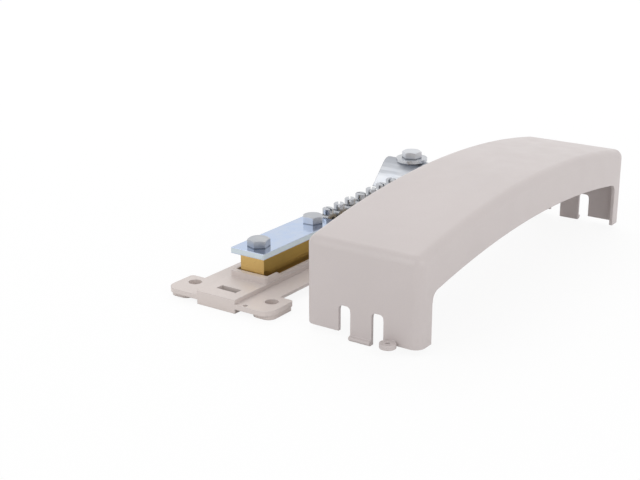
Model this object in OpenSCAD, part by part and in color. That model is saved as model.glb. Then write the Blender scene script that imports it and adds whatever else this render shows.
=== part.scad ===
// Equipotential bonding terminal strip with its clip cover standing beside it.
// Millimetres. The origin is the centre of the base's underside, X runs along the
// busbar, Y across it and Z up. The cover stands on its two tongues at negative Y.

/* [Busbar] */
// Width of the brass bar
bar_w = 14; // [12:0.5:20]
// Height of the brass bar
bar_h = 10.5; // [9:0.5:16]
// Bar left beyond the saddle
bar_tail = 11.6; // [6:0.1:24]
// Distance of the row of screws from the bar's left side
row_edge = 4; // [3.8:0.1:5.5]

/* [Strip clamp] */
// Width of the clamp plate
plate_w = 20; // [16:0.5:26]
// Thickness of the clamp plate
plate_t = 3; // [2:0.25:5]
// Distance between the plate's two bolts
plate_bolt_spacing = 46.4; // [38:0.2:60]
// Distance of each bolt from the plate's end
plate_bolt_end = 9.5; // [8:0.5:14]

/* [Terminals] */
// Distance between neighbouring terminals
terminal_pitch = 10.6; // [9.5:0.1:14]
// Gap between the clamp plate and the first terminal
terminal_gap = 0.5; // [0.4:0.1:3]
// Width of a stirrup along the bar
clamp_w = 8; // [7.4:0.1:9]
// Width of the strip that a stirrup is bent from
clamp_strip = 5; // [4.5:0.1:5.5]
// Thickness of that strip
clamp_t = 1.2; // [0.8:0.1:1.4]
// Thickness of the stirrup's tapped top
clamp_top_t = 1.5; // [1.2:0.1:2.4]
// Height of the conductor window over the bar
clamp_window = 2.4; // [2:0.1:5]

/* [Terminal screws] */
// Diameter of the screw's thread
screw_d = 4; // [3:0.25:4.5]
// Diameter of the cheese head
screw_head_d = 5.8; // [5.2:0.1:7]
// Height of the cheese head
screw_head_h = 3.1; // [2.4:0.1:4]
// Width of the driver slot
screw_slot_w = 1; // [0.6:0.1:1.4]
// Depth of the driver slot
screw_slot_depth = 1.5; // [0.8:0.1:1.9]

/* [Saddle] */
// Width of the strap across the bar
saddle_w = 32; // [24:1:40]
// Height of the strap's ridge over the bar
saddle_h = 14.1; // [12:0.1:18]
// Thickness of the strap
saddle_t = 2; // [1.5:0.1:3]
// Outer radius of the rounded ridge
saddle_ridge_r = 7.2; // [5:0.1:9]
// Slope of the strap's two flanks in degrees
saddle_slope = 45; // [40:1:55]
// Gap between the last terminal and the strap's foot
saddle_gap = 1.8; // [0.4:0.1:4]
// Diameter of the washer on the ridge
washer_d = 18; // [14:0.5:22]
// Thickness of the washer
washer_t = 1.8; // [1:0.1:2.5]

/* [Hexagon bolts] */
// Diameter of the bolts' thread
bolt_d = 6; // [5:0.5:6.5]
// Width of the hexagon across its flats
bolt_flats = 10; // [8:0.5:11]
// Height of the hexagon head
bolt_head_h = 4; // [3:0.1:5]
// Length of thread in the bar
bolt_grip = 9; // [6:0.5:9]

/* [Base] */
// Height of the ears and flanges over the mounting surface
ear_h = 4.6; // [4:0.1:7]
// Thickness of the ears
ear_t = 2.4; // [1.6:0.1:3.2]
// Thickness of the side flanges
flange_t = 1.4; // [1:0.1:2.4]
// Reach of the side flanges beyond the platform
flange_reach = 11.7; // [8:0.1:16]
// Height of the platform over the flanges
platform_step = 2.2; // [1.6:0.1:4]
// Thickness of the platform's top
platform_skin = 2.4; // [1.8:0.1:2.8]
// Thickness of the platform's side and end walls
platform_wall = 2; // [1.4:0.1:3]
// Length of the platform beyond the cover
platform_nose = 8.75; // [6:0.25:14]
// Length of each ear along the bar
ear_len = 20; // [18:0.5:26]
// Reach of each ear beyond the cover's side
ear_margin = 1.2; // [0:0.1:6]
// Radius of each ear's corner at the base's end
ear_end_r = 6; // [3:0.5:7]
// Radius of each ear's corner towards the middle
ear_inner_r = 2; // [1:0.5:3]
// Setback of the feet under the ears from the base's end
foot_setback = 2; // [1:0.5:4]
// Width of those feet
foot_w = 12; // [11:0.5:14]
// Radius of the feet's corners at the base's end
foot_r = 4; // [2:0.5:5]
// Diameter of the mounting holes
mount_hole_d = 6.6; // [5:0.1:6.8]
// Distance of the mounting holes from the base's end
mount_inset_x = 13; // [10:0.5:14]
// Distance of the mounting holes from the ear's side
mount_inset_y = 7.8; // [6.5:0.1:9]
// Number of ribs under the platform
rib_count = 6; // [2:1:10]
// Thickness of those ribs
rib_t = 1.6; // [1:0.1:2.4]

/* [Busbar tray] */
// Thickness of the tray's side walls
tray_wall = 1.6; // [1.2:0.1:2.6]
// Step of the tray back from the platform's sides
tray_step = 0.3; // [0.2:0.1:1]
// Gap between the bar and the tray's side walls
tray_side_gap = 2.5; // [1:0.1:4]
// Height of the tray's low walls over the platform
tray_low_h = 1.7; // [1:0.1:2.2]
// Height of the tray's end collars over the platform
tray_end_h = 3.1; // [2.6:0.1:6]
// Length of the end collars along the bar
tray_end_len = 10.2; // [8:0.1:20]
// Thickness of the collars' end walls
tray_end_wall = 3; // [2:0.1:6]
// Radius of the collars' corners at the bar's ends
tray_corner_r = 1.4; // [0.6:0.1:2]

/* [Cover] */
// Length of the cover beyond each end of the bar
cover_end_room = 19.75; // [17:0.25:28]
// Width of the cover
cover_w = 60; // [56:0.5:68]
// Height of the cover at its ends
cover_end_h = 41.5; // [38:0.5:48]
// Height of the cover in the middle
cover_mid_h = 52.5; // [50:0.5:60]
// Wall thickness of the cover
cover_wall = 1.9; // [1.4:0.1:2.6]
// Radius of the cover's outer edges
cover_r = 4.8; // [3.5:0.1:6]
// Width of each corner post
post_w = 10.5; // [8:0.5:16]
// Height of the side arch at its posts
arch_end_h = 23.5; // [18:0.5:28]
// Height of the side arch in the middle
arch_mid_h = 32.5; // [30:0.5:38]
// Radius in the side arch's corners
arch_r = 5; // [2:0.5:8]
// Gap between the standing cover and the base's ears
cover_aside = 17.2; // [8:0.2:40]
// Shift of the standing cover along the bar
cover_shift = -4.1; // [-20:0.1:20]

/* [Cover snap] */
// Width of each snap tongue
tongue_w = 11.2; // [8:0.2:14]
// Drop of the tongues under the cover's rim
tongue_drop = 3; // [2.4:0.1:4]
// Reach of the hook on each tongue
hook_reach = 1.6; // [0.8:0.1:2]
// Height of the hook on each tongue
hook_h = 1.9; // [1.2:0.1:2.2]
// Height of the slots beside each tongue
slot_h = 12.6; // [9:0.2:18]
// Corner radius at the top of those slots
slot_r = 2; // [1:0.1:2.6]
// Outer radius of the sealing eyelet
eyelet_r = 3.8; // [3.2:0.1:4.6]
// Thickness of the sealing eyelet
eyelet_t = 2.3; // [1.6:0.1:4]
// Diameter of the seal wire's hole
seal_hole_d = 2.2; // [1.5:0.1:3]
// Distance of the eyelet from the cover's centre line
eyelet_y = 16.2; // [15:0.1:22]
// Distance of the base's own seal hole from its end
base_seal_inset = 2; // [1.8:0.1:4]

/* [Hidden] */
$fn = 64;

// Fineness of the long arcs of the cover
arc_fn = 360;
// Diametral play of a screw in its thread
thread_play = 0.1;
// Diametral play of a bolt in a plain hole
hole_play = 0.6;
// Play of a stirrup's strip in the bar's slots, each side
strip_play = 0.15;
// Room under a stirrup inside the bar
groove_room = 0.4;
// Gap between a screw's head and its stirrup when driven home
head_gap = 0.2;
// Play of the bar at each end of the tray
bar_end_play = 0.5;
// Play of a tongue in its slot, each side
tongue_play = 0.25;
// Chamfer of the screws' heads and tips
screw_chamfer = 0.4;
// Chamfer of the bolts' tips
bolt_tip_chamfer = 0.8;
// Slope of the hexagon heads' chamfer in degrees
hex_chamfer_slope = 30;
// Diameter of the heads' flat top over their width across the flats
hex_top_share = 0.94;
// Outer bend radius of the stirrups
clamp_bend_r = 1.6;
// Depth of the busbar screws' thread in the bar
busbar_screw_grip = 6;
// Distance of the busbar screws from the bar's ends
busbar_screw_inset = 16.5;
// Head of the busbar screws
busbar_screw_head_d = 7;
busbar_screw_head_h = 2.6;
// Step of the feet back from the ears' sides
foot_step = 0.4;
// Radius of the ball that rounds an upper corner of the cover, over its edges' radius
corner_ball = 1.05;
// Depth of the eyelet's root in the cover's wall
eyelet_root = 0.4;
// Overlap of a cut past the face that it starts from
cut = 1;
// Turn of each hexagon bolt about its axis in degrees
front_bolt_turn = 11;
rear_bolt_turn = 35;
saddle_bolt_turn = -8;
// Turn of each terminal screw's slot in degrees, one for each terminal in the row
slot_turn = [70, 32, 38, 100, 26, 64, 12];
terminal_count = len(slot_turn);
// Height of each terminal screw over its place when driven home
screw_lift = [0, 0.1, 0.3, 0.5, 0.7, 0.9, 1.2];

plastic = [0.82, 0.80, 0.77];
brass = [0.77, 0.62, 0.34];
zinc = [0.74, 0.78, 0.83];

// Heights from the mounting surface up
platform_h = ear_h + platform_step;
bar_top = platform_h + bar_h;
plate_top = bar_top + plate_t;
bridge_z = platform_h + clamp_t + groove_room;
clamp_top = bar_top + clamp_window + clamp_top_t;
saddle_top = bar_top + saddle_h;

// Half span of the strap's foot on the bar
function flank_foot(r) = (r + (saddle_h - saddle_ridge_r) * cos(saddle_slope)) / sin(saddle_slope);
saddle_foot = flank_foot(saddle_ridge_r);

// Lengths along the bar
plate_len = plate_bolt_spacing + 2 * plate_bolt_end;
row_len = (terminal_count - 1) * terminal_pitch + clamp_w;
bar_len = plate_len + terminal_gap + row_len + saddle_gap + 2 * saddle_foot + bar_tail;
plate_x = -bar_len / 2 + plate_len / 2;
front_bolt_x = plate_x - plate_bolt_spacing / 2;
rear_bolt_x = plate_x + plate_bolt_spacing / 2;
row_x = -bar_len / 2 + plate_len + terminal_gap + clamp_w / 2;
saddle_x = row_x - clamp_w / 2 + row_len + saddle_gap + saddle_foot;
busbar_screw_x = bar_len / 2 - busbar_screw_inset;
row_y = bar_w / 2 - row_edge;
plate_y = (plate_w - bar_w) / 2;

// Plan sizes of base and cover
platform_w = bar_w + 2 * (tray_side_gap + tray_wall + tray_step);
flange_w = platform_w + 2 * flange_reach;
cover_len = bar_len + 2 * cover_end_room;
base_len = cover_len + 2 * platform_nose;
ear_y = cover_w / 2 + ear_margin;
ear_inner_x = base_len / 2 - ear_len;
ear_root_y = platform_w / 2 - platform_wall / 2;
mount_x = base_len / 2 - mount_inset_x;
mount_y = ear_y - mount_inset_y;
tray_x = bar_len / 2 + bar_end_play + tray_end_wall;
tongue_x = cover_len / 2 - cover_wall / 2;
// Gap outside each tongue in its slot, so that half of its hook catches
hook_gap = hook_reach / 2;
// Room behind each tongue in its slot, where it bends to snap in
snap_room = hook_reach + tongue_play;
seal_x = cover_len / 2 + eyelet_r - eyelet_root;

// Arcs of the cover, each through its two end heights and its middle height
function arc_radius(half, rise) = (half * half + rise * rise) / (2 * rise);
crown_R = arc_radius(cover_len / 2, cover_mid_h - cover_end_h);
crown_z = cover_mid_h - crown_R;
arch_half = cover_len / 2 - post_w;
arch_R = arc_radius(arch_half, arch_mid_h - arch_end_h);
arch_z = arch_mid_h - arch_R;
core_x = cover_len / 2 - cover_r;
core_y = cover_w / 2 - cover_r;
core_R = crown_R - cover_r;
core_end_z = crown_z + sqrt(core_R * core_R - core_x * core_x);
cover_y = -(ear_y + cover_aside + cover_w / 2);

// Box centred on X and Y, from z0 up to z1
module block(size_x, size_y, z0, z1) {
    translate([-size_x / 2, -size_y / 2, z0])
        cube([size_x, size_y, z1 - z0]);
}

// Upright cylinder from z0 up to z1
module rod(d, z0, z1) {
    translate([0, 0, z0])
        cylinder(d = d, h = z1 - z0);
}

// Rectangle with round corners, centred
module round_rect(size_x, size_y, r) {
    square([size_x - 2 * r, size_y], center = true);
    square([size_x, size_y - 2 * r], center = true);
    for (sx = [-1, 1], sy = [-1, 1])
        translate([sx * (size_x / 2 - r), sy * (size_y / 2 - r)])
            circle(r);
}

// Copies its child to the four corners, mirrored
module four_corners() {
    for (sx = [0, 1], sy = [0, 1])
        mirror([sx, 0, 0])
            mirror([0, sy, 0])
                children();
}

// Copies its child to both ends of the bar, mirrored
module both_ends() {
    for (sx = [0, 1])
        mirror([sx, 0, 0])
            children();
}

// Lays an outline drawn in X and Z upright and draws it out across Y
module across(width) {
    rotate([90, 0, 0])
        linear_extrude(height = width, center = true)
            children();
}

// Hexagon bolt with a chamfered head, its head's underside at z = 0
module hex_bolt(length, turn) {
    corners = bolt_flats / cos(30);
    cone_drop = (corners - hex_top_share * bolt_flats) / 2 * tan(hex_chamfer_slope);
    cone_h = corners / 2 * tan(hex_chamfer_slope);
    intersection() {
        rotate([0, 0, turn])
            cylinder(d = corners, h = bolt_head_h, $fn = 6);
        union() {
            rod(corners + cut, 0, bolt_head_h - cone_drop);
            translate([0, 0, bolt_head_h - cone_drop])
                cylinder(r1 = corners / 2, r2 = 0, h = cone_h);
        }
    }
    rod(bolt_d, bolt_tip_chamfer - length, cut / 2);
    translate([0, 0, -length])
        cylinder(d1 = bolt_d - 2 * bolt_tip_chamfer, d2 = bolt_d, h = bolt_tip_chamfer);
}

// Slotted cheese head screw, its head's underside at z = 0
module slotted_screw(head_d, head_h, length, turn) {
    difference() {
        union() {
            rod(head_d, 0, head_h - screw_chamfer);
            translate([0, 0, head_h - screw_chamfer])
                cylinder(d1 = head_d, d2 = head_d - 2 * screw_chamfer, h = screw_chamfer);
            rod(screw_d, screw_chamfer - length, cut / 2);
            translate([0, 0, -length])
                cylinder(d1 = screw_d - 2 * screw_chamfer, d2 = screw_d, h = screw_chamfer);
        }
        rotate([0, 0, turn])
            block(head_d + cut, screw_slot_w, head_h - screw_slot_depth, head_h + cut);
    }
}

// Plan of one ear or foot from the line y0 out to y1 and from x0 to its end x1
module ear_plan(x0, x1, y0, y1, end_r) {
    span = x1 - x0;
    reach = y1 - y0;
    translate([x0, y0]) {
        square([span, reach - end_r]);
        square([span - end_r, reach - ear_inner_r]);
        translate([ear_inner_r, 0])
            square([span - ear_inner_r - end_r, reach]);
        translate([ear_inner_r, reach - ear_inner_r])
            circle(ear_inner_r);
        translate([span - end_r, reach - end_r])
            circle(end_r);
    }
}

// Plan of the foot under one ear, its inner corner at the end rounded too
module foot_plan() {
    x0 = ear_inner_x + foot_step;
    x1 = base_len / 2 - foot_setback;
    y1 = ear_y - foot_step;
    y0 = y1 - foot_w;
    ear_plan(x0, x1, y0 + foot_r, y1, foot_r);
    translate([x0, y0])
        square([x1 - foot_r - x0, 2 * foot_r]);
    translate([x1 - foot_r, y0 + foot_r])
        circle(foot_r);
}

// Plan of one end collar, its two corners at the bar's end rounded
module collar_plan(width) {
    round_rect(tray_end_len, width, tray_corner_r);
    translate([-tray_end_len / 4, 0])
        square([tray_end_len / 2, width], center = true);
}

// Raised walls that hold the bar, low along it and higher round its ends
module tray() {
    root = platform_h - platform_skin / 2;
    low_top = platform_h + tray_low_h;
    end_top = platform_h + tray_end_h;
    outer_w = platform_w - 2 * tray_step;
    collar_x = tray_x - tray_end_len / 2;
    difference() {
        union() {
            block(2 * collar_x, outer_w, root, low_top);
            both_ends()
                translate([collar_x, 0, root])
                    linear_extrude(height = end_top - root)
                        collar_plan(outer_w);
        }
        block(2 * (tray_x - tray_end_wall), outer_w - 2 * tray_wall, platform_h, end_top + cut);
    }
}

// Ribs that stiffen the hollow platform, spread evenly between the busbar screws
module ribs() {
    pitch = 2 * busbar_screw_x / rib_count;
    for (i = [0 : rib_count - 1])
        translate([-busbar_screw_x + (i + 0.5) * pitch, 0, 0])
            block(rib_t, platform_w - platform_wall, 0, platform_h - platform_skin / 2);
}

module base() color(plastic)
    difference() {
        union() {
            difference() {
                union() {
                    block(base_len, platform_w, 0, platform_h);
                    block(base_len, flange_w, ear_h - flange_t, ear_h);
                    four_corners() {
                        translate([0, 0, ear_h - ear_t])
                            linear_extrude(height = ear_t)
                                ear_plan(ear_inner_x, base_len / 2, ear_root_y, ear_y, ear_end_r);
                        linear_extrude(height = ear_h - ear_t / 2)
                            foot_plan();
                    }
                }
                block(
                    base_len - 2 * platform_wall, platform_w - 2 * platform_wall,
                    -cut, platform_h - platform_skin
                );
            }
            ribs();
            tray();
        }
        four_corners()
            translate([mount_x, mount_y, 0])
                rod(mount_hole_d, -cut, ear_h + cut);
        both_ends()
            translate([tongue_x + (hook_gap - snap_room) / 2, 0, 0])
                block(
                    cover_wall + hook_gap + snap_room, tongue_w + 2 * tongue_play,
                    -cut, platform_h + cut
                );
        both_ends()
            translate([busbar_screw_x, 0, 0])
                rod(screw_d + hole_play, 0, platform_h + cut);
        translate([base_seal_inset - base_len / 2, -eyelet_y, 0])
            rod(seal_hole_d, -cut, ear_h + cut);
    }

// Slots and groove in the bar that a stirrup passes through
module stirrup_passage() {
    leg_x = (clamp_w - clamp_t) / 2;
    slot_y = clamp_strip + 2 * strip_play;
    for (sx = [-1, 1])
        translate([sx * leg_x, 0, 0])
            block(clamp_t + 2 * strip_play, slot_y, platform_h - cut, bar_top + cut);
    block(clamp_w + 2 * strip_play, slot_y, platform_h - cut, bridge_z);
}

module busbar() color(brass)
    difference() {
        block(bar_len, bar_w, platform_h, bar_top);
        for (x = [front_bolt_x, rear_bolt_x, saddle_x])
            translate([x, row_y, 0])
                rod(bolt_d + thread_play, platform_h - cut, bar_top + cut);
        for (i = [0 : terminal_count - 1])
            translate([row_x + i * terminal_pitch, row_y, 0])
                stirrup_passage();
        both_ends()
            translate([busbar_screw_x, 0, 0])
                rod(screw_d + thread_play, platform_h - cut, platform_h + busbar_screw_grip + cut);
    }

module strip_clamp_plate() color(zinc)
    difference() {
        translate([plate_x, plate_y, 0])
            block(plate_len, plate_w, bar_top, plate_top);
        for (x = [front_bolt_x, rear_bolt_x])
            translate([x, row_y, 0])
                rod(bolt_d + hole_play, bar_top - cut, plate_top + cut);
    }

module plate_bolt(x, turn) color(zinc)
    translate([x, row_y, plate_top])
        hex_bolt(plate_t + bolt_grip, turn);

module plate_bolt_front() plate_bolt(front_bolt_x, front_bolt_turn);

module plate_bolt_rear() plate_bolt(rear_bolt_x, rear_bolt_turn);

// Closed stirrup bent from strip, its bottom held against the bar's bridge
module terminal_clamp(i) color(zinc)
    translate([row_x + i * terminal_pitch, row_y, 0])
        difference() {
            bottom = bridge_z - clamp_t;
            height = clamp_top - bottom;
            window_h = height - clamp_t - clamp_top_t;
            across(clamp_strip)
                difference() {
                    translate([0, bottom + height / 2])
                        round_rect(clamp_w, height, clamp_bend_r);
                    translate([0, bridge_z + window_h / 2])
                        square([clamp_w - 2 * clamp_t, window_h], center = true);
                }
            rod(screw_d + thread_play, bar_top, clamp_top + cut);
        }

module terminal_clamp_1() terminal_clamp(0);
module terminal_clamp_2() terminal_clamp(1);
module terminal_clamp_3() terminal_clamp(2);
module terminal_clamp_4() terminal_clamp(3);
module terminal_clamp_5() terminal_clamp(4);
module terminal_clamp_6() terminal_clamp(5);
module terminal_clamp_7() terminal_clamp(6);

// Terminal screw, its tip on the bar when driven home
module terminal_screw(i) color(zinc)
    translate([row_x + i * terminal_pitch, row_y, clamp_top + head_gap + screw_lift[i]])
        slotted_screw(screw_head_d, screw_head_h, clamp_top + head_gap - bar_top, slot_turn[i]);

module terminal_screw_1() terminal_screw(0);
module terminal_screw_2() terminal_screw(1);
module terminal_screw_3() terminal_screw(2);
module terminal_screw_4() terminal_screw(3);
module terminal_screw_5() terminal_screw(4);
module terminal_screw_6() terminal_screw(5);
module terminal_screw_7() terminal_screw(6);

// Outline of a roof with a round ridge of radius r and flanks that touch it, feet at depth
module roof(r, depth) {
    ridge_z = saddle_h - saddle_ridge_r;
    side = [r * sin(saddle_slope), ridge_z + r * cos(saddle_slope)];
    foot = flank_foot(r) + depth / tan(saddle_slope);
    translate([0, ridge_z])
        circle(r);
    polygon([[-foot, -depth], [foot, -depth], side, [-side[0], side[1]]]);
}

module saddle_strap() color(zinc)
    translate([saddle_x, row_y, bar_top])
        difference() {
            across(saddle_w)
                difference() {
                    roof(saddle_ridge_r, 0);
                    roof(saddle_ridge_r - saddle_t, cut);
                }
            rod(bolt_d + hole_play, 0, saddle_h + cut);
        }

module saddle_washer() color(zinc)
    translate([saddle_x, row_y, 0])
        difference() {
            rod(washer_d, saddle_top, saddle_top + washer_t);
            rod(bolt_d + hole_play, saddle_top - cut, saddle_top + washer_t + cut);
        }

module saddle_bolt() color(zinc)
    translate([saddle_x, row_y, saddle_top + washer_t])
        hex_bolt(washer_t + saddle_h + bolt_grip, saddle_bolt_turn);

module busbar_screw(x) color(zinc)
    translate([x, 0, platform_h - platform_skin])
        mirror([0, 0, 1])
            slotted_screw(
                busbar_screw_head_d, busbar_screw_head_h,
                platform_skin + busbar_screw_grip, 0
            );

module busbar_screw_front() busbar_screw(-busbar_screw_x);

module busbar_screw_rear() busbar_screw(busbar_screw_x);

// Side view of the arched body from floor_z up, its end edges rounded by r
module crown_outline(r, floor_z) {
    touch_x = core_x * (core_R + r) / core_R;
    translate([-core_x - r, floor_z])
        square([2 * (core_x + r), core_end_z - floor_z]);
    for (sx = [-1, 1])
        translate([sx * core_x, core_end_z])
            circle(r);
    intersection() {
        translate([0, crown_z])
            circle(core_R + r, $fn = arc_fn);
        translate([-touch_x, floor_z])
            square([2 * touch_x, crown_R]);
    }
}

// Arched body with its long edges rounded by r, swept about the crown's axis
module crown_sweep(r) {
    depth = cover_mid_h + 2 * cut;
    sweep = asin((core_x + cover_r + cut) / (core_R - depth));
    translate([0, 0, crown_z])
        rotate([90, 0, 0])
            rotate([0, 0, 90 - sweep])
                rotate_extrude(angle = 2 * sweep, $fn = arc_fn) {
                    translate([core_R - depth, -core_y - r])
                        square([depth, 2 * (core_y + r)]);
                    translate([core_R - depth, -core_y])
                        square([depth + r, 2 * core_y]);
                    for (sy = [-1, 1])
                        translate([core_R, sy * core_y])
                            circle(r);
                }
}

// Crossing of the side view, the swept section and the round cornered plan
module cover_form(r, floor_z) {
    intersection() {
        crown_sweep(r);
        across(cover_w + 2 * cut)
            crown_outline(r, floor_z);
        translate([0, 0, floor_z])
            linear_extrude(height = cover_mid_h - floor_z + cut)
                round_rect(2 * (core_x + r), 2 * (core_y + r), r);
    }
}

// Tip of an upper corner, outside a ball that rounds it
module corner_tip() {
    translate([core_x, core_y, core_end_z])
        difference() {
            cube(2 * cover_r);
            sphere(corner_ball * cover_r);
        }
}

// Outline of the side arch, with round upper corners
module arch_outline() {
    corner_x = arch_half - arch_r;
    corner_z = arch_z + sqrt((arch_R - arch_r) * (arch_R - arch_r) - corner_x * corner_x);
    touch_x = corner_x * arch_R / (arch_R - arch_r);
    translate([-arch_half, -cut])
        square([2 * arch_half, corner_z + cut]);
    for (sx = [-1, 1])
        translate([sx * corner_x, corner_z])
            circle(arch_r);
    intersection() {
        translate([0, arch_z])
            circle(arch_R, $fn = arc_fn);
        translate([-touch_x, 0])
            square([2 * touch_x, arch_mid_h]);
    }
}

// Outline of the slot beside a tongue, with round upper corners
module slot_outline() {
    inner = tongue_w / 2;
    outer = platform_w / 2 + tongue_play;
    translate([inner, -cut])
        square([outer - inner, slot_h - slot_r + cut]);
    translate([inner + slot_r, 0])
        square([outer - inner - 2 * slot_r, slot_h]);
    for (y = [inner + slot_r, outer - slot_r])
        translate([y, slot_h - slot_r])
            circle(slot_r);
}

// Part of a snap tongue under the rim, with its outward hook
module tongue_tip() {
    face = cover_len / 2;
    across(tongue_w)
        polygon([
            [face - cover_wall, cut], [face, cut],
            [face, hook_h - tongue_drop], [face + hook_reach, hook_h / 2 - tongue_drop],
            [face + hook_reach / 2, -tongue_drop], [face - cover_wall, -tongue_drop]
        ]);
}

// Eyelet for a seal wire, a ring that stands out from the near end
module eyelet() {
    translate([-seal_x, -eyelet_y, 0])
        difference() {
            rod(2 * eyelet_r, 0, eyelet_t);
            rod(seal_hole_d, -cut, eyelet_t + cut);
        }
}

module cover() color(plastic)
    translate([cover_shift, cover_y, tongue_drop]) {
        difference() {
            cover_form(cover_r, 0);
            four_corners()
                corner_tip();
            cover_form(cover_r - cover_wall, -cut);
            across(cover_w + 2 * cut)
                arch_outline();
            for (sy = [0, 1])
                mirror([0, sy, 0])
                    rotate([90, 0, 90])
                        linear_extrude(height = cover_len + 2 * cut, center = true)
                            slot_outline();
        }
        both_ends()
            tongue_tip();
        eyelet();
    }

base();
busbar();
strip_clamp_plate();
plate_bolt_front();
plate_bolt_rear();
terminal_clamp_1();
terminal_clamp_2();
terminal_clamp_3();
terminal_clamp_4();
terminal_clamp_5();
terminal_clamp_6();
terminal_clamp_7();
terminal_screw_1();
terminal_screw_2();
terminal_screw_3();
terminal_screw_4();
terminal_screw_5();
terminal_screw_6();
terminal_screw_7();
saddle_strap();
saddle_washer();
saddle_bolt();
busbar_screw_front();
busbar_screw_rear();
cover();
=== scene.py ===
"""Bonding terminal strip with its clip cover standing beside it, dressed for a studio picture."""

from math import pi, radians, sqrt

import bpy
import numpy as np
from bpy.props import FloatProperty, FloatVectorProperty, PointerProperty
from mathutils import Matrix, Vector


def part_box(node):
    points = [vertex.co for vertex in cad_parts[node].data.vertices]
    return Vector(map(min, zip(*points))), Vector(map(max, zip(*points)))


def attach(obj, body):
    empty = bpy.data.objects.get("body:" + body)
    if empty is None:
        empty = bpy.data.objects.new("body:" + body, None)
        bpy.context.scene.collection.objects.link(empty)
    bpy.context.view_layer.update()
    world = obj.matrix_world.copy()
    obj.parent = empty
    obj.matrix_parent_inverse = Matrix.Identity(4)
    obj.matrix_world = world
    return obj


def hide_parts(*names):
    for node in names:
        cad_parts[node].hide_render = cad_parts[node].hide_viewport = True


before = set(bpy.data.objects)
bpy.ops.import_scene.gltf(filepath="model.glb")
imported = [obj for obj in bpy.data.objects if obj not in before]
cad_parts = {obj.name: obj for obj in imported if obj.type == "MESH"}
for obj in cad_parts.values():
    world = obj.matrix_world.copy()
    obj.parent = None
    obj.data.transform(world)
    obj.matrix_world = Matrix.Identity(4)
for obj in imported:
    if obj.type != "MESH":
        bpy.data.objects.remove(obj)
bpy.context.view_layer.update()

bl_info = {
    "name": "Terminal strip with clip cover",
    "version": (1, 0, 0),
    "blender": (4, 5, 0),
    "location": "3D View > Sidebar > Terminal strip",
    "description": "Shapes the clip cover, finishes the terminal strip and sets its stage",
    "category": "Object",
}

TERMINALS = range(1, 8)

# Rows of the cover's skin from its lowest edge up
HOOK_TOE, HOOK_TIP, HOOK_LEDGE, HOOK_TOP, RIM, SLOT, ARCH, SHOULDER = range(8)
# Shares of the hook's height at which its slope ends and its ledge starts
HOOK_TIP_SHARE = 0.4
HOOK_LEDGE_SHARE = 0.8
# Steps round the cover's long edges, along its arched and flat walls, and round its eyelet
EDGE_STEPS = 10
ARCH_STEPS = 60
WALL_STEPS = 8
RING_STEPS = 48
# Steps to the metre that points are rounded to before doubles are merged
MERGE_STEPS = 1e7
# Angles over which an edge is rounded, and over which it stays sharp in the shading
ROUNDED_OVER = radians(40)
SHARP_OVER = radians(35)
# Depth in metres within which a point counts as on a face
FACE_DEPTH = 0.0002

# Roughness of the smoothest and the roughest patches, and brightness, of each zinc plating; the brightness
# is set piece by piece and is partly painted light that makes some pieces look more or less lit
FASTENERS = {"name": "plated_fasteners", "smooth": 0.16, "rough": 0.3, "bright": 0.95}
STIRRUPS = {"name": "plated_stirrups", "smooth": 0.32, "rough": 0.48, "bright": 0.75}
WASHER = {"name": "plated_washer", "smooth": 0.2, "rough": 0.36, "bright": 1.0}
PLATE_BOLTS = {"name": "plated_plate_bolts", "smooth": 0.28, "rough": 0.44, "bright": 0.9}
SADDLE_BOLT = {"name": "plated_saddle_bolt", "smooth": 0.28, "rough": 0.44, "bright": 1.2}
# Roughness of the rolled pieces, and the scale along each axis that draws their marks out
PLATE = {"smooth": 0.08, "rough": 0.17, "stretch": (0.12, 1, 1)}
STRAP = {"smooth": 0.36, "rough": 0.48, "stretch": (1, 0.15, 0.15)}


def length(name, description, default):
    """A length property in metres."""
    return FloatProperty(name=name, description=description, default=default, unit="LENGTH", precision=5)


def colour(name, description, default):
    """A linear colour property."""
    return FloatVectorProperty(
        name=name, description=description, default=default, subtype="COLOR", size=3, min=0, max=1
    )


def point(name, description, default):
    """A property for a point of the frame."""
    return FloatVectorProperty(
        name=name, description=description, default=default, subtype="TRANSLATION", unit="LENGTH"
    )


def watts(name, description, default):
    """A lamp's power property."""
    return FloatProperty(name=name, description=description, default=default, unit="POWER")


def fraction(name, description, default):
    """A property from none to all."""
    return FloatProperty(name=name, description=description, default=default, min=0, max=1)


class CoverSizes(bpy.types.PropertyGroup):
    """Sizes of the clip cover that its outer box doesn't give"""

    wall: length("Wall", "Thickness of the cover's wall", 0.0019)
    edge_radius: length("Edge radius", "Radius of the cover's outer edges", 0.0048)
    crown_rise: length("Crown rise", "Height of the crown's middle over its ends", 0.011)
    post_width: length("Post", "Width of each corner post", 0.0105)
    arch_end: length("Arch at posts", "Height of the side arch at its posts", 0.0235)
    arch_middle: length("Arch middle", "Height of the side arch in the middle", 0.0325)
    arch_corner: length("Arch corner", "Radius in the side arch's corners", 0.005)
    tongue_width: length("Tongue", "Width of each tongue", 0.0112)
    tongue_drop: length("Tongue drop", "Drop of the tongues under the rim", 0.003)
    hook_reach: length("Hook reach", "Reach of the hook on each tongue", 0.0016)
    hook_height: length("Hook height", "Height of the hook on each tongue", 0.0024)
    slot_outer: length("Slot outer side", "Outer side of the slots from the centre line", 0.01165)
    slot_height: length("Slot height", "Height of the slots beside each tongue", 0.0126)
    slot_corner: length("Slot corner", "Corner radius at the top of the slots", 0.002)
    eyelet_radius: length("Eyelet", "Outer radius of the sealing eyelet", 0.0038)
    eyelet_thickness: length("Eyelet thickness", "Thickness of the sealing eyelet", 0.0023)
    eyelet_offset: length("Eyelet offset", "Distance of the eyelet from the centre line", 0.0162)
    seal_hole: length("Seal hole", "Diameter of the seal wire's hole", 0.0022)
    seal_reach: length("Seal reach", "Distance of that hole from the cover's end", 0.0034)


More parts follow.
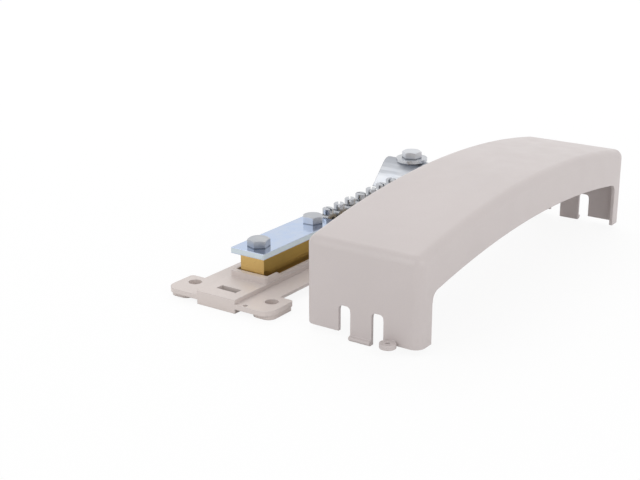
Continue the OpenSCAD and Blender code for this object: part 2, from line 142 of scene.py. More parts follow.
class EdgeSizes(bpy.types.PropertyGroup):
    """Rounding of the pieces' edges"""

    rim: length("Cover rim", "Rounding of the cover's rim", 0.00025)
    plastic: length("Mouldings", "Rounding of the moulded edges", 0.0004)
    brass: length("Busbar", "Rounding of the drawn bar's edges", 0.0003)
    strip: length("Flat strip", "Rounding of the plate's, the strap's and the washer's edges", 0.00025)
    fasteners: length("Fasteners", "Rounding of the screws', the bolts' and the stirrups' edges", 0.00015)
    sheared: length("Sheared band", "Width of the dull band along the strap's edges", 0.0009)
    # Painted shade: height of the band of darker zinc at the top of the strap
    shaded_ridge: length("Ridge band", "Height of the darker zinc at the strap's ridge", 0.009)
    # Painted shade: height of the dark band at the foot of each bolt head, where the gap under the head
    # lies in shadow
    groove_shade: length("Head groove", "Height of the dark groove under a bolt's head", 0.00045)


class FinishColours(bpy.types.PropertyGroup):
    """Colours of the finishes"""

    plastic: colour("Plastic", "Pale warm grey of the cover", (0.58, 0.525, 0.515))
    # Paler and warmer than the cover: partly the base's own tint, partly painted light standing in for
    # light that reaches the base
    plastic_base: colour("Base plastic", "Plastic of the base, a little paler", (0.655, 0.585, 0.555))
    plastic_worn: colour("Handled plastic", "Paler plastic along handled edges", (0.68, 0.63, 0.61))
    # Fresh brass on rubbed edges, and on the bar's ends, where it is partly painted light on the lit end
    # faces
    fresh_brass_and_lit_ends: colour("Sawn brass", "Fresh brass on the bar's ends", (0.65, 0.45, 0.17))
    brass: colour("Brass", "Drawn brass", (0.375, 0.24, 0.056))
    brass_dull: colour("Dull brass", "Tarnish on the brass", (0.265, 0.175, 0.045))
    zinc: colour("Zinc", "Clear passivated zinc", (0.50, 0.52, 0.56))
    zinc_pale: colour("Pale zinc", "Paler patches of the plating", (0.60, 0.61, 0.63))
    zinc_blue: colour("Blue zinc", "Blue passivated zinc of the clamp plate", (0.47, 0.575, 0.78))
    zinc_blue_pale: colour("Pale blue zinc", "Paler patches of the clamp plate", (0.53, 0.61, 0.755))
    zinc_edge: colour("Plate edge", "Greener zinc on the clamp plate's edges", (0.60, 0.67, 0.71))
    # Dull zinc along the strap's sheared edges, and painted shade in the band under each bolt head
    zinc_dull_and_shade: colour("Dull zinc", "Zinc in grooves and along sheared edges", (0.19, 0.20, 0.22))
    steel: colour("Bright edge", "Metal along rubbed edges", (0.82, 0.83, 0.84))


class StageSettings(bpy.types.PropertyGroup):
    """Camera, lamps and floor"""

    lens: FloatProperty(name="Lens", description="Focal length", default=69.93, unit="CAMERA")
    camera: point("Camera", "Place of the camera", (-0.5430, -0.3517, 0.2191))
    aim: FloatVectorProperty(
        name="Aim", description="Direction the camera looks in", default=(0.77929, 0.53886, -0.31993),
        subtype="DIRECTION",
    )
    lamp_size: length("Lamp size", "Side of each square lamp", 1.0)
    lamp_aim: point("Lamp aim", "Place that the lamps face", (0, -0.03, 0.02))
    left_place: point("Left lamp's place", "Place of the lamp at the left", (-1.2, 0.52, 0.75))
    left_watts: watts("Left lamp", "Power of the lamp at the left", 3.4)
    right_place: point("Right lamp's place", "Place of the lamp at the right", (-0.15, -1.28, 0.75))
    right_watts: watts("Right lamp", "Power of the lamp at the right", 4.2)
    back_place: point("Back lamp's place", "Place of the lamp behind", (0.75, 0.6, 0.8))
    back_watts: watts("Back lamp", "Power of the lamp behind", 5.4)
    ambient: fraction("Ambient", "Level of the light from all round", 0.73)
    floor: colour("Floor", "Pale floor", (0.93, 0.93, 0.93))
    floor_size: length("Floor size", "Side of the floor", 8.0)
    floor_drop: length("Floor drop", "Drop of the floor under the strip", 0.0001)
    floor_white: fraction("Floor white", "Share of plain white that the camera sees on the floor", 0.9)
    card_size: length("Card size", "Side of the grey card", 1.4)
    card_distance: length("Card distance", "Distance of the card behind the camera", 0.6)
    card_rise: length("Card rise", "Height of the card's middle over the camera", 0.25)
    card: colour("Card", "Grey card behind the camera, seen in reflections only", (0.40, 0.40, 0.41))


def arc_radius(half, rise):
    """Radius of the arc that rises by rise over half its span."""
    return (half * half + rise * rise) / (2 * rise)


def turn_towards(a, b, share):
    """Unit vectors a turned towards b by a share of the angle between them, along the great circle."""
    angle = np.arccos(np.clip((a * b).sum(-1), -1, 1))[..., None]
    return (np.sin((1 - share) * angle) * a + np.sin(share * angle) * b) / np.sin(angle)


def mirrored(values, sign):
    """A run of values from the centre line out, carried on to the other side of it."""
    return np.concatenate([sign * values[:0:-1], values])


def grid_quads(rows, columns, closed):
    """Corner numbers of a grid's faces; closed joins the last column to the first."""
    i, j = np.meshgrid(np.arange(rows - 1), np.arange(columns if closed else columns - 1), indexing="ij")
    a = i * columns + j
    b = i * columns + (j + 1) % columns
    return np.stack([a, b, b + columns, a + columns], -1)


def cover_stations(s, half_length, core):
    """Places along half a long wall and half an end wall, each with the height of its opening's edge.

    Along a long wall the edge is the arch, a circle through the posts' and the middle's heights, and
    the corner circle that touches it. Along an end wall it is the slot's top with its two corner circles.
    """
    half_arch = half_length - s.post_width
    big = arc_radius(half_arch, s.arch_middle - s.arch_end)
    centre_z = s.arch_middle - big
    corner_x = half_arch - s.arch_corner
    corner_z = centre_z + sqrt((big - s.arch_corner) ** 2 - corner_x**2)
    touch = np.arcsin(corner_x / (big - s.arch_corner))
    angle = np.linspace(touch, pi / 2, WALL_STEPS + 4)
    x_arch = np.linspace(0, big * np.sin(touch), ARCH_STEPS)[:-1]
    x_post = np.linspace(half_arch, core[0], WALL_STEPS // 2)[1:]
    x = np.concatenate([x_arch, corner_x + s.arch_corner * np.sin(angle), x_post])
    x_edge = np.concatenate(
        [
            centre_z + np.sqrt(big**2 - x_arch**2),
            corner_z + s.arch_corner * np.cos(angle),
            np.full(len(x_post), corner_z),
        ]
    )

    inner = s.tongue_width / 2
    straight = s.slot_height - s.slot_corner
    angle = np.linspace(0, pi / 2, WALL_STEPS)
    step = s.slot_corner * (1 - np.cos(angle))
    rise = straight + s.slot_corner * np.sin(angle)
    y_tongue = np.linspace(0, inner, WALL_STEPS // 2)[:-1]
    y_post = np.linspace(s.slot_outer, core[1], WALL_STEPS)[1:]
    y = np.concatenate([y_tongue, inner + step, s.slot_outer - step[::-1], y_post])
    y_edge = np.concatenate(
        [np.full(len(y_tongue), straight), rise, rise[::-1], np.full(len(y_post), straight)]
    )
    return half_arch, (mirrored(x, -1), mirrored(x_edge, 1)), (mirrored(y, -1), mirrored(y_edge, 1))


def cover_skin(s, half_length, half_width, height):
    """Outer and inner skin of the cover, with the faces that both share.

    A ring of upright columns runs round the plan. Each column starts at the opening's edge or the rim,
    goes up the wall, and rounds the shoulder: centre of the edge's ball plus the radius times a direction
    that turns from the wall's normal to the crown's normal. The crown is a cylinder about a level axis.
    """
    core = half_length - s.edge_radius, half_width - s.edge_radius
    crown_radius = arc_radius(half_length, s.crown_rise)
    core_radius = crown_radius - s.edge_radius
    half_arch, (x, x_edge), (y, y_edge) = cover_stations(s, half_length, core)
    slot_z, arch_z = y_edge[0], x_edge[0]

    q = np.linspace(0, pi / 2, EDGE_STEPS)[1:-1]
    still = np.zeros(len(q))
    runs = []
    for way in (1.0, -1.0):
        end = np.stack([np.full(len(y), core[0]), y], 1) * way
        side = np.stack([x[::-1], np.full(len(x), core[1])], 1) * way
        first_corner = np.stack([still + core[0], still + core[1]], 1) * way
        second_corner = np.stack([still - core[0], still + core[1]], 1) * way
        runs += [
            (end, np.tile([way, 0.0], (len(y), 1)), y_edge, np.full(len(y), arch_z)),
            (first_corner, np.stack([np.cos(q), np.sin(q)], 1) * way, still + slot_z, still + arch_z),
            (side, np.tile([0.0, way], (len(x), 1)), np.full(len(x), slot_z), x_edge),
            (second_corner, np.stack([-np.sin(q), np.cos(q)], 1) * way, still + slot_z, still + arch_z),
        ]
    centre, normal, z_slot, z_arch = (np.concatenate(r) for r in zip(*runs))
    columns = len(centre)

    lowest = np.full(columns, RIM)
    following = np.roll(normal, -1, 0)
    flat = (normal * following).sum(1) > 1 - 1e-9
    middle = np.abs(centre + np.roll(centre, -1, 0)) / 2
    on_end = flat & (np.abs(normal[:, 0]) > 0.5)
    lowest[flat & ~on_end & (middle[:, 0] < half_arch)] = ARCH
    lowest[on_end & (middle[:, 1] < s.slot_outer)] = SLOT
    lowest[on_end & (middle[:, 1] < s.tongue_width / 2)] = HOOK_TOE

    rise = np.sqrt(core_radius**2 - centre[:, 0] ** 2)
    core_z = height - crown_radius + rise
    crown_normal = np.stack([centre[:, 0], 0 * rise, rise], 1) / core_radius
    level_normal = np.c_[normal, np.zeros(columns)]
    ball = np.c_[centre, core_z]
    flat_rows = np.zeros((SHOULDER, columns))
    flat_rows[HOOK_TOE] = -s.tongue_drop
    flat_rows[HOOK_TIP] = HOOK_TIP_SHARE * s.hook_height - s.tongue_drop
    flat_rows[HOOK_LEDGE] = HOOK_LEDGE_SHARE * s.hook_height - s.tongue_drop
    flat_rows[HOOK_TOP] = s.hook_height - s.tongue_drop
    flat_rows[SLOT] = z_slot
    flat_rows[ARCH] = z_arch
    share = np.linspace(0, 1, EDGE_STEPS)[:, None, None]
    direction = turn_towards(level_normal[None], crown_normal[None], share)
    top_x, top_y = np.meshgrid(x, y, indexing="ij")
    top_rise = np.sqrt(core_radius**2 - top_x**2)
    top_normal = np.stack([top_x, 0 * top_x, top_rise], -1) / core_radius
    top_ball = np.stack([top_x, top_y, height - crown_radius + top_rise], -1)

    def skin(radius, hook):
        """Points at that distance from the edges' centres, with hooks that reach out so far."""
        out = np.zeros(SHOULDER)
        out[[HOOK_TOE, HOOK_TIP, HOOK_LEDGE]] = hook / 2, hook, hook
        plan = centre[None] + (radius + out)[:, None, None] * normal[None]
        wall = np.concatenate([plan, flat_rows[..., None]], -1)
        edge = ball[None] + radius * direction
        crown = top_ball + radius * top_normal
        return np.concatenate([a.reshape(-1, 3) for a in (wall, edge, crown)])

    outer = skin(s.edge_radius, s.hook_reach)
    inner = skin(s.edge_radius - s.wall, 0)
    rows = SHOULDER + EDGE_STEPS
    quads = grid_quads(rows, columns, True)
    quads = quads[np.arange(rows - 1)[:, None] >= lowest[None]]
    crown_quads = grid_quads(len(x), len(y), False).reshape(-1, 4)[:, ::-1] + rows * columns
    return outer, inner, np.concatenate([quads, crown_quads])


def close_shell(outer, inner, quads):
    """Joins two skins that share their faces into one closed shell, with a wall along every open edge."""
    grid = np.round(outer * MERGE_STEPS).astype(int)
    _, first, number = np.unique(grid, axis=0, return_index=True, return_inverse=True)
    quads = number.reshape(-1)[quads]
    used, quads = np.unique(quads, return_inverse=True)
    quads = quads.reshape(-1, 4)
    count = len(used)
    points = np.concatenate([outer[first[used]], inner[first[used]]])
    edges = np.concatenate([quads[:, [k, (k + 1) % 4]] for k in range(4)])
    edges = edges[edges[:, 0] != edges[:, 1]]
    lone = ~np.isin(edges[:, 0] * count + edges[:, 1], edges[:, 1] * count + edges[:, 0])
    a, b = edges[lone].T
    rim = np.stack([b, a, a + count, b + count], 1)
    pointed = quads[:, 2] == quads[:, 3]
    four, three = quads[~pointed], quads[pointed][:, :3]
    faces = [four, four[:, ::-1] + count, rim, three, three[:, ::-1] + count]
    return points, [f for group in faces for f in group.tolist()]


def eyelet_ring(s, half_length):
    """Sealing eyelet, a square section carried round the wire's hole.

    Each corner of the section runs on a circle: its radius times the angle's cosine and sine, at its level.
    """
    angle = np.linspace(0, 2 * pi, RING_STEPS, endpoint=False)
    ray = np.stack([np.cos(angle), np.sin(angle), 0 * angle], 1)
    bore, rim = s.seal_hole / 2, s.eyelet_radius
    radius = np.array([bore, rim, rim, bore])
    level = np.array([0, 0, 1, 1])[:, None] * [0, 0, s.eyelet_thickness]
    points = (radius[:, None, None] * ray + level[:, None]).reshape(-1, 3)
    points += [-half_length - s.seal_reach, -s.eyelet_offset, 0]
    quads = grid_quads(5, len(angle), True).reshape(-1, 4) % len(points)
    return points, quads.tolist()


def smoothing_group():
    """Node group that shades faces smooth and keeps edges over an angle sharp."""
    group = bpy.data.node_groups.new("smooth_by_angle", "GeometryNodeTree")
    group.interface.new_socket("Geometry", in_out="INPUT", socket_type="NodeSocketGeometry")
    group.interface.new_socket("Geometry", in_out="OUTPUT", socket_type="NodeSocketGeometry")
    nodes, links = group.nodes, group.links
    start, end = nodes.new("NodeGroupInput"), nodes.new("NodeGroupOutput")
    faces, edges = nodes.new("GeometryNodeSetShadeSmooth"), nodes.new("GeometryNodeSetShadeSmooth")
    edges.domain = "EDGE"
    edges.inputs["Shade Smooth"].default_value = False
    angle, sharp = nodes.new("GeometryNodeInputMeshEdgeAngle"), nodes.new("FunctionNodeCompare")
    sharp.inputs[1].default_value = SHARP_OVER
    links.new(start.outputs[0], faces.inputs[0])
    links.new(faces.outputs[0], edges.inputs[0])
    links.new(angle.outputs["Unsigned Angle"], sharp.inputs[0])
    links.new(sharp.outputs[0], edges.inputs["Selection"])
    links.new(edges.outputs[0], end.inputs[0])
    return group


def round_rim(piece, width):
    """Rounds a piece's sharp edges and shades its curved faces smooth."""
    bevel = piece.modifiers.new("round_rim", "BEVEL")
    bevel.width = width
    bevel.segments = 2
    bevel.limit_method = "ANGLE"
    bevel.angle_limit = ROUNDED_OVER
    bevel.use_clamp_overlap = False
    shading = piece.modifiers.new("smooth_by_angle", "NODES")
    shading.node_group = smoothing_group()
    weigh = piece.modifiers.new("weigh_normals", "WEIGHTED_NORMAL")
    weigh.keep_sharp = True


class Finish:
    """A material being put together from noise on Object coordinates."""

    def __init__(self, name, metallic):
        self.material = bpy.data.materials.new(name)
        self.material.use_nodes = True
        self.tree = self.material.node_tree
        self.shader = self.tree.nodes["Principled BSDF"]
        self.shader.inputs["Metallic"].default_value = metallic
        self.place = self.tree.nodes.new("ShaderNodeTexCoord").outputs["Object"]

    def link(self, a, b):
        """Leads socket a into socket b."""
        self.tree.links.new(a, b)

    def noise(self, scale, detail, stretch=None):
        """Noise with that many features to the metre; stretch draws it out along the axes."""
        where = self.place
        if stretch:
            mapping = self.tree.nodes.new("ShaderNodeMapping")
            mapping.inputs["Scale"].default_value = stretch
            self.link(where, mapping.inputs["Vector"])
            where = mapping.outputs["Vector"]
        node = self.tree.nodes.new("ShaderNodeTexNoise")
        node.inputs["Scale"].default_value = scale
        node.inputs["Detail"].default_value = detail
        self.link(where, node.inputs["Vector"])
        return node.outputs["Fac"]

    def spread(self, value, low, high, start=0.3, stop=0.7):
        """Value carried from start and stop over to low and high."""
        node = self.tree.nodes.new("ShaderNodeMapRange")
        for name, number in zip(("From Min", "From Max", "To Min", "To Max"), (start, stop, low, high)):
            node.inputs[name].default_value = number
        self.link(value, node.inputs["Value"])
        return node.outputs["Result"]

    def times(self, a, b):
        """Product of two sockets' values."""
        node = self.tree.nodes.new("ShaderNodeMath")
        node.operation = "MULTIPLY"
        self.link(a, node.inputs[0])
        self.link(b, node.inputs[1])
        return node.outputs[0]

    def mix(self, share, a, b):
        """Colour a turned into colour b by share; each is a colour or a socket."""
        node = self.tree.nodes.new("ShaderNodeMix")
        node.data_type = "RGBA"
        self.link(share, node.inputs["Factor"])
        for name, value in (("A", a), ("B", b)):
            socket = next(i for i in node.inputs if i.name == name and i.type == "RGBA")
            if isinstance(value, bpy.types.NodeSocket):
                self.link(value, socket)
            else:
                socket.default_value = (*value, 1)
        return next(o for o in node.outputs if o.type == "RGBA")

    def rounded(self, radius):
        """Normal of the surface with its edges rounded by the radius."""
        bevel = self.tree.nodes.new("ShaderNodeBevel")
        bevel.samples = 6
        bevel.inputs["Radius"].default_value = radius
        return bevel.outputs["Normal"]

    def edges(self, radius, scale):
        """Mask along edges, broken up by noise: how far the normal turns within the radius."""
        own = self.tree.nodes.new("ShaderNodeNewGeometry").outputs["Normal"]
        dot = self.tree.nodes.new("ShaderNodeVectorMath")
        dot.operation = "DOT_PRODUCT"
        self.link(self.rounded(radius), dot.inputs[0])
        self.link(own, dot.inputs[1])
        turned = self.spread(dot.outputs["Value"], 1, 0, 0.75, 0.995)
        return self.times(turned, self.spread(self.noise(scale, 3), 0.2, 1))

    def along(self, axis):
        """Place along an axis."""
        split = self.tree.nodes.new("ShaderNodeSeparateXYZ")
        self.link(self.place, split.inputs["Vector"])
        return split.outputs[axis]

    def faces(self, name, axis):
        """Mask of a piece's faces at both ends of its box along an axis."""
        low, high = (corner["XYZ".index(axis)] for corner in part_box(name))
        near = self.tree.nodes.new("ShaderNodeMath")
        near.operation = "PINGPONG"
        near.inputs[1].default_value = (high - low) / 2
        self.link(self.spread(self.along(axis), 0, high - low, low, high), near.inputs[0])
        return self.spread(near.outputs[0], 1, 0, FACE_DEPTH, 2 * FACE_DEPTH)

    def bump(self, height, distance, strength, edge):
        """Relief of that depth in metres, on edges rounded by edge."""
        node = self.tree.nodes.new("ShaderNodeBump")
        node.inputs["Distance"].default_value = distance
        node.inputs["Strength"].default_value = strength
        self.link(height, node.inputs["Height"])
        self.link(self.rounded(edge), node.inputs["Normal"])
        self.link(node.outputs["Normal"], self.shader.inputs["Normal"])


def shade(rgb, factor):
    """A colour made darker or lighter."""
    return tuple(min(1.0, c * factor) for c in rgb)


def plastic_finish(colours, edge, name, plain):
    """Fine spark-eroded mould texture, faint flow mottling and paler handled edges."""
    f = Finish(name, 0)
    broad = f.mix(f.spread(f.noise(22, 3), 0, 1), shade(plain, 0.975), shade(plain, 1.025))
    fine = f.mix(f.spread(f.noise(1400, 2), 0, 0.35), broad, shade(plain, 0.93))
    worn = f.edges(2 * edge, 260)
    f.link(f.mix(worn, fine, colours.plastic_worn), f.shader.inputs["Base Color"])
    f.link(f.spread(f.noise(90, 4), 0.32, 0.45), f.shader.inputs["Roughness"])
    f.bump(f.noise(1900, 3), 0.00004, 0.35, edge)
    return f.material


def brass_finish(colours, edge):
    """Drawing lines along the bar, uneven tarnish, rubbed edges, and ends paler than the sides: partly
    fresh sawn brass, partly painted light on the lit end faces.
    """
    f = Finish("drawn_brass", 1)
    lines = f.noise(14, 5, (1, 70, 70))
    tarnish = f.spread(f.noise(70, 5), 0, 0.55, 0.42, 0.75)
    drawn = f.mix(f.spread(lines, 0, 1), shade(colours.brass, 0.92), shade(colours.brass, 1.06))
    dull = f.mix(tarnish, drawn, colours.brass_dull)
    # Partly painted light: the end faces are paler than the drawn sides, for their fresh cut and for the
    # light they catch
    cut_and_lit_ends = f.mix(f.faces("busbar", "X"), dull, colours.fresh_brass_and_lit_ends)
    f.link(f.mix(f.edges(2 * edge, 320), cut_and_lit_ends, colours.fresh_brass_and_lit_ends), f.shader.inputs["Base Color"])
    f.link(f.spread(lines, 0.26, 0.44), f.shader.inputs["Roughness"])
    f.bump(lines, 0.00003, 0.3, edge)
    return f.material


def zinc_patches(f, plain, pale):
    """Colour of passivated zinc in fine patches."""
    return f.mix(f.spread(f.noise(150, 4), 0, 1, 0.35, 0.72), plain, pale)


def zinc_polish(f, patches, rubbed, edge, smooth, rough, stretch=None):
    """Finishes a zinc surface: rubbed edges, uneven gloss and a faint relief drawn out along the axes."""
    f.link(f.mix(f.edges(2 * edge, 500), patches, rubbed), f.shader.inputs["Base Color"])
    f.link(f.spread(f.noise(300, 4, stretch), smooth, rough), f.shader.inputs["Roughness"])
    f.bump(f.noise(900, 3, stretch), 0.00001, 0.08, edge)
    return f.material


def zinc_finish(colours, edge, name, smooth, rough, bright):
    """Passivated zinc of small pieces, brighter where edges are rubbed."""
    found = bpy.data.materials.get(name)
    if found:
        return found
    f = Finish(name, 1)
    patches = zinc_patches(f, shade(colours.zinc, bright), shade(colours.zinc_pale, bright))
    return zinc_polish(f, patches, colours.steel, edge, smooth, rough)


def plate_finish(colours, edge):
    """Blue zinc on the rolled faces of the clamp plate, greener zinc on its edges."""
    f = Finish("plated_flat_strip", 1)
    rolled = zinc_patches(f, colours.zinc_blue, colours.zinc_blue_pale)
    patches = f.mix(f.faces("strip_clamp_plate", "Z"), colours.zinc_edge, rolled)
    return zinc_polish(f, patches, colours.steel, edge, **PLATE)


def bolt_finish(colours, edges, seat, name, smooth, rough, bright):
    """Zinc of a hexagon bolt, with painted shade in a band at the foot of its head, where it meets the
    piece that it sits on.
    """
    f = Finish(name, 1)
    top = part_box(seat)[1].z
    # Painted shade: a dark band just over the seat, standing in for the shadow under the head
    groove_shade = f.spread(f.along("Z"), 1, 0, top + 0.7 * edges.groove_shade, top + edges.groove_shade)
    plain = zinc_patches(f, shade(colours.zinc, bright), shade(colours.zinc_pale, bright))
    patches = f.mix(groove_shade, plain, colours.zinc_dull_and_shade)
    return zinc_polish(f, patches, colours.steel, edges.fasteners, smooth, rough)


def strap_finish(colours, edges):
    """Zinc of the bent strap, streaked along its bend, with painted highlight brightening its flanks and
    painted shade darkening its ridge; duller along its sheared edges.
    """
    f = Finish("plated_strap", 1)
    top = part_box("saddle_strap")[1].z
    # Painted highlight: the flanks' zinc made much brighter than the plating's own colour
    lit_flank = zinc_patches(f, shade(colours.zinc, 1.55), shade(colours.zinc_pale, 1.4))
    # Painted shade: the zinc darkens towards the ridge
    shaded_ridge = f.spread(f.along("Z"), 0, 1, top - edges.shaded_ridge, top)
    streaks = f.spread(f.noise(420, 3, (1, 0.1, 1)), 0, 0.55, 0.45, 0.65)
    bent = f.mix(streaks, f.mix(shaded_ridge, lit_flank, shade(colours.zinc, 0.9)), shade(colours.zinc, 0.85))
    patches = f.mix(f.edges(edges.sheared, 500), bent, colours.zinc_dull_and_shade)
    return zinc_polish(f, patches, colours.zinc_dull_and_shade, edges.strip, **STRAP)


def dress(name, material):
    """Puts a finish on a CAD piece through its material slot."""
    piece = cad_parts[name]
    for holder in piece.material_slots:
        holder.material = material


class STRIP_OT_cover(bpy.types.Operator):
    """Builds the clip cover as one closed shell of even thickness"""

    bl_idname = "strip.cover"
    bl_label = "Clip cover"

    def execute(self, context):
        scene = context.scene
        s = scene.strip_cover
        lo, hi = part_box("cover")
        left, right = lo.x + s.seal_reach + s.eyelet_radius, hi.x - s.hook_reach
        half_length, half_width = (right - left) / 2, (hi.y - lo.y) / 2
        height = hi.z - lo.z - s.tongue_drop
        if half_length < s.post_width or height < s.arch_middle:
            raise RuntimeError("the cover's sizes don't fit the box of its CAD node")
        points, faces = close_shell(*cover_skin(s, half_length, half_width, height))
        ring, ring_faces = eyelet_ring(s, half_length)
        faces += [[k + len(points) for k in f] for f in ring_faces]
        points = np.concatenate([points, ring])
        points += [(left + right) / 2, (lo.y + hi.y) / 2, lo.z + s.tongue_drop]
        mesh = bpy.data.meshes.new("clip_cover")
        mesh.from_pydata(points.tolist(), [], faces)
        mesh.update()
        colours, edges = scene.strip_colours, scene.strip_edges
        mesh.materials.append(plastic_finish(colours, edges.plastic, "cover_plastic", colours.plastic))
        piece = bpy.data.objects.new("clip_cover", mesh)
        scene.collection.objects.link(piece)
        round_rim(piece, edges.rim)
        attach(piece, "root")
        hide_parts("cover")
        return {"FINISHED"}


class STRIP_OT_base(bpy.types.Operator):
    """Finishes the moulded base"""

    bl_idname = "strip.base"
    bl_label = "Base"

    def execute(self, context):
        scene = context.scene
        colours, edge = scene.strip_colours, scene.strip_edges.plastic
        # The base plastic is partly painted light: paler to stand in for light that reaches the base
        dress("base", plastic_finish(colours, edge, "base_plastic", colours.plastic_base))
        return {"FINISHED"}


class STRIP_OT_busbar(bpy.types.Operator):
    """Finishes the drawn brass bar and the two screws that hold it from below"""

    bl_idname = "strip.busbar"
    bl_label = "Busbar"

    def execute(self, context):
        scene = context.scene
        colours, edges = scene.strip_colours, scene.strip_edges
        dress("busbar", brass_finish(colours, edges.brass))
        plated = zinc_finish(colours, edges.fasteners, **FASTENERS)
        for end in ("front", "rear"):
            dress(f"busbar_screw_{end}", plated)
        return {"FINISHED"}


class STRIP_OT_clamp_plate(bpy.types.Operator):
    """Finishes the clamp plate and its two hexagon bolts"""

    bl_idname = "strip.clamp_plate"
    bl_label = "Clamp plate"

    def execute(self, context):
        scene = context.scene
        colours, edges = scene.strip_colours, scene.strip_edges
        dress("strip_clamp_plate", plate_finish(colours, edges.strip))
        plated = bolt_finish(colours, edges, "strip_clamp_plate", **PLATE_BOLTS)
        for end in ("front", "rear"):
            dress(f"plate_bolt_{end}", plated)
        return {"FINISHED"}


class STRIP_OT_terminals(bpy.types.Operator):
    """Finishes the row of stirrups and their screws"""

    bl_idname = "strip.terminals"
    bl_label = "Terminals"

    def execute(self, context):
        scene = context.scene
        colours, edges = scene.strip_colours, scene.strip_edges
        bent = zinc_finish(colours, edges.fasteners, **STIRRUPS)
        plated = zinc_finish(colours, edges.fasteners, **FASTENERS)
        for i in TERMINALS:
            dress(f"terminal_clamp_{i}", bent)
            dress(f"terminal_screw_{i}", plated)
        return {"FINISHED"}


class STRIP_OT_saddle(bpy.types.Operator):
    """Finishes the saddle strap, its washer and its bolt"""

    bl_idname = "strip.saddle"
    bl_label = "Saddle"

    def execute(self, context):
        scene = context.scene
        colours, edges = scene.strip_colours, scene.strip_edges
        dress("saddle_strap", strap_finish(colours, edges))
        dress("saddle_washer", zinc_finish(colours, edges.strip, **WASHER))
        dress("saddle_bolt", bolt_finish(colours, edges, "saddle_washer", **SADDLE_BOLT))
        return {"FINISHED"}


def panel_mesh(name, size, matrix, material):
    """A flat square panel of the stage, its place kept in its mesh."""
    h = size / 2
    mesh = bpy.data.meshes.new(name)
    corners = [matrix @ Vector(p) for p in ((-h, -h, 0), (h, -h, 0), (h, h, 0), (-h, h, 0))]
    mesh.from_pydata(corners, [], [(0, 1, 2, 3)])
    mesh.update()
    mesh.materials.append(material)
    panel = bpy.data.objects.new(name, mesh)
    bpy.context.scene.collection.objects.link(panel)
    return panel


def add_lamp(name, at, target, size, power):
    """A square soft lamp that faces the target."""
    data = bpy.data.lights.new(name, "AREA")
    data.size = size
    data.energy = power
    lamp = bpy.data.objects.new(name, data)
    aim = (Vector(target) - Vector(at)).to_track_quat("-Z", "Y")
    lamp.matrix_world = Matrix.LocRotScale(Vector(at), aim, None)
    bpy.context.scene.collection.objects.link(lamp)
    return lamp


def floor_material(rgb, white_share):
    """Pale floor that keeps shadows; the camera sees it mixed with plain white."""
    material = bpy.data.materials.new("pale_floor")
    material.use_nodes = True
    tree = material.node_tree
    tree.nodes.clear()
    path, diffuse = tree.nodes.new("ShaderNodeLightPath"), tree.nodes.new("ShaderNodeBsdfDiffuse")
    white, mix = tree.nodes.new("ShaderNodeEmission"), tree.nodes.new("ShaderNodeMixShader")
    share, out = tree.nodes.new("ShaderNodeMath"), tree.nodes.new("ShaderNodeOutputMaterial")
    diffuse.inputs["Color"].default_value = (*rgb, 1)
    share.operation = "MULTIPLY"
    share.inputs[1].default_value = white_share
    tree.links.new(path.outputs["Is Camera Ray"], share.inputs[0])
    tree.links.new(share.outputs[0], mix.inputs[0])
    tree.links.new(diffuse.outputs[0], mix.inputs[1])
    tree.links.new(white.outputs[0], mix.inputs[2])
    tree.links.new(mix.outputs[0], out.inputs["Surface"])
    return material


def studio_world(ambient):
    """White to the camera and in reflections, a plain grey as light."""
    world = bpy.data.worlds.new("studio")
    world.use_nodes = True
    tree = world.node_tree
    tree.nodes.clear()
    path, seen = tree.nodes.new("ShaderNodeLightPath"), tree.nodes.new("ShaderNodeMath")
    seen.operation = "MAXIMUM"
    both = tree.nodes.new("ShaderNodeMath")
    both.operation = "MAXIMUM"
    light, white = tree.nodes.new("ShaderNodeBackground"), tree.nodes.new("ShaderNodeBackground")
    light.inputs["Color"].default_value = (ambient, ambient, ambient, 1)
    white.inputs["Color"].default_value = (1, 1, 1, 1)
    mix, out = tree.nodes.new("ShaderNodeMixShader"), tree.nodes.new("ShaderNodeOutputWorld")
    tree.links.new(path.outputs["Is Camera Ray"], seen.inputs[0])
    tree.links.new(path.outputs["Is Glossy Ray"], seen.inputs[1])
    tree.links.new(seen.outputs[0], both.inputs[0])
    tree.links.new(path.outputs["Is Transmission Ray"], both.inputs[1])
    tree.links.new(both.outputs[0], mix.inputs[0])
    tree.links.new(light.outputs[0], mix.inputs[1])
    tree.links.new(white.outputs[0], mix.inputs[2])
    tree.links.new(mix.outputs[0], out.inputs["Surface"])
    return world


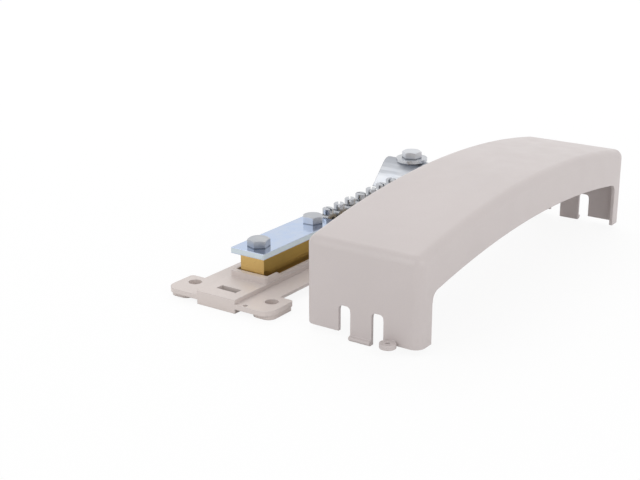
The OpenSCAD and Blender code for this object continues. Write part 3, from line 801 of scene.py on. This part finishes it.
class STRIP_OT_stage(bpy.types.Operator):
    """Sets the floor, the soft lamps, the card behind the camera and the camera"""

    bl_idname = "strip.stage"
    bl_label = "Stage"

    def execute(self, context):
        scene = context.scene
        s = scene.strip_stage
        eye, aim = Vector(s.camera), Vector(s.aim).normalized()
        scene.world = studio_world(s.ambient)
        below = Matrix.Translation((0, 0, -s.floor_drop))
        panel_mesh("floor", s.floor_size, below, floor_material(s.floor, s.floor_white))
        grey = bpy.data.materials.new("grey_card")
        grey.use_nodes = True
        grey.node_tree.nodes["Principled BSDF"].inputs["Base Color"].default_value = (*s.card, 1)
        level = Vector((aim.x, aim.y, 0)).normalized()
        behind = eye - level * s.card_distance + Vector((0, 0, s.card_rise))
        facing = Matrix.LocRotScale(behind, level.to_track_quat("Z", "Y"), None)
        card = panel_mesh("card", s.card_size, facing, grey)
        card.visible_camera = False
        card.visible_diffuse = False
        add_lamp("lamp_left", s.left_place, s.lamp_aim, s.lamp_size, s.left_watts)
        add_lamp("lamp_right", s.right_place, s.lamp_aim, s.lamp_size, s.right_watts)
        back = add_lamp("lamp_back", s.back_place, s.lamp_aim, s.lamp_size, s.back_watts)
        back.visible_glossy = False
        data = bpy.data.cameras.new("camera")
        data.lens = s.lens
        data.sensor_width = 36
        data.clip_start, data.clip_end = 0.01, 50
        camera = bpy.data.objects.new("camera", data)
        camera.matrix_world = Matrix.LocRotScale(eye, aim.to_track_quat("-Z", "Y"), None)
        scene.collection.objects.link(camera)
        scene.camera = camera
        scene.view_settings.view_transform = "Standard"
        return {"FINISHED"}


class STRIP_PT_panel(bpy.types.Panel):
    """Sizes, colours and steps of the terminal strip"""

    bl_idname = "STRIP_PT_panel"
    bl_label = "Terminal strip"
    bl_space_type = "VIEW_3D"
    bl_region_type = "UI"
    bl_category = "Terminal strip"

    def draw(self, context):
        for operator in OPERATORS:
            self.layout.operator(operator.bl_idname)
        for name in GROUPS:
            box = self.layout.box()
            settings = getattr(context.scene, name)
            for key in settings.bl_rna.properties.keys():
                if key not in ("rna_type", "name"):
                    box.prop(settings, key)


OPERATORS = (
    STRIP_OT_cover,
    STRIP_OT_base,
    STRIP_OT_busbar,
    STRIP_OT_clamp_plate,
    STRIP_OT_terminals,
    STRIP_OT_saddle,
    STRIP_OT_stage,
)
GROUPS = {
    "strip_cover": CoverSizes,
    "strip_edges": EdgeSizes,
    "strip_colours": FinishColours,
    "strip_stage": StageSettings,
}


def register():
    """Registers the classes and hangs the settings on the scene."""
    for cls in (*GROUPS.values(), *OPERATORS, STRIP_PT_panel):
        bpy.utils.register_class(cls)
    for name, cls in GROUPS.items():
        setattr(bpy.types.Scene, name, PointerProperty(type=cls))


def unregister():
    """Takes the settings and the classes away again."""
    for name in GROUPS:
        delattr(bpy.types.Scene, name)
    for cls in reversed((*GROUPS.values(), *OPERATORS, STRIP_PT_panel)):
        bpy.utils.unregister_class(cls)


def main():
    """Runs every step in order."""
    register()
    bpy.ops.strip.cover()
    bpy.ops.strip.base()
    bpy.ops.strip.busbar()
    bpy.ops.strip.clamp_plate()
    bpy.ops.strip.terminals()
    bpy.ops.strip.saddle()
    bpy.ops.strip.stage()


if __name__ == "__main__":
    main()
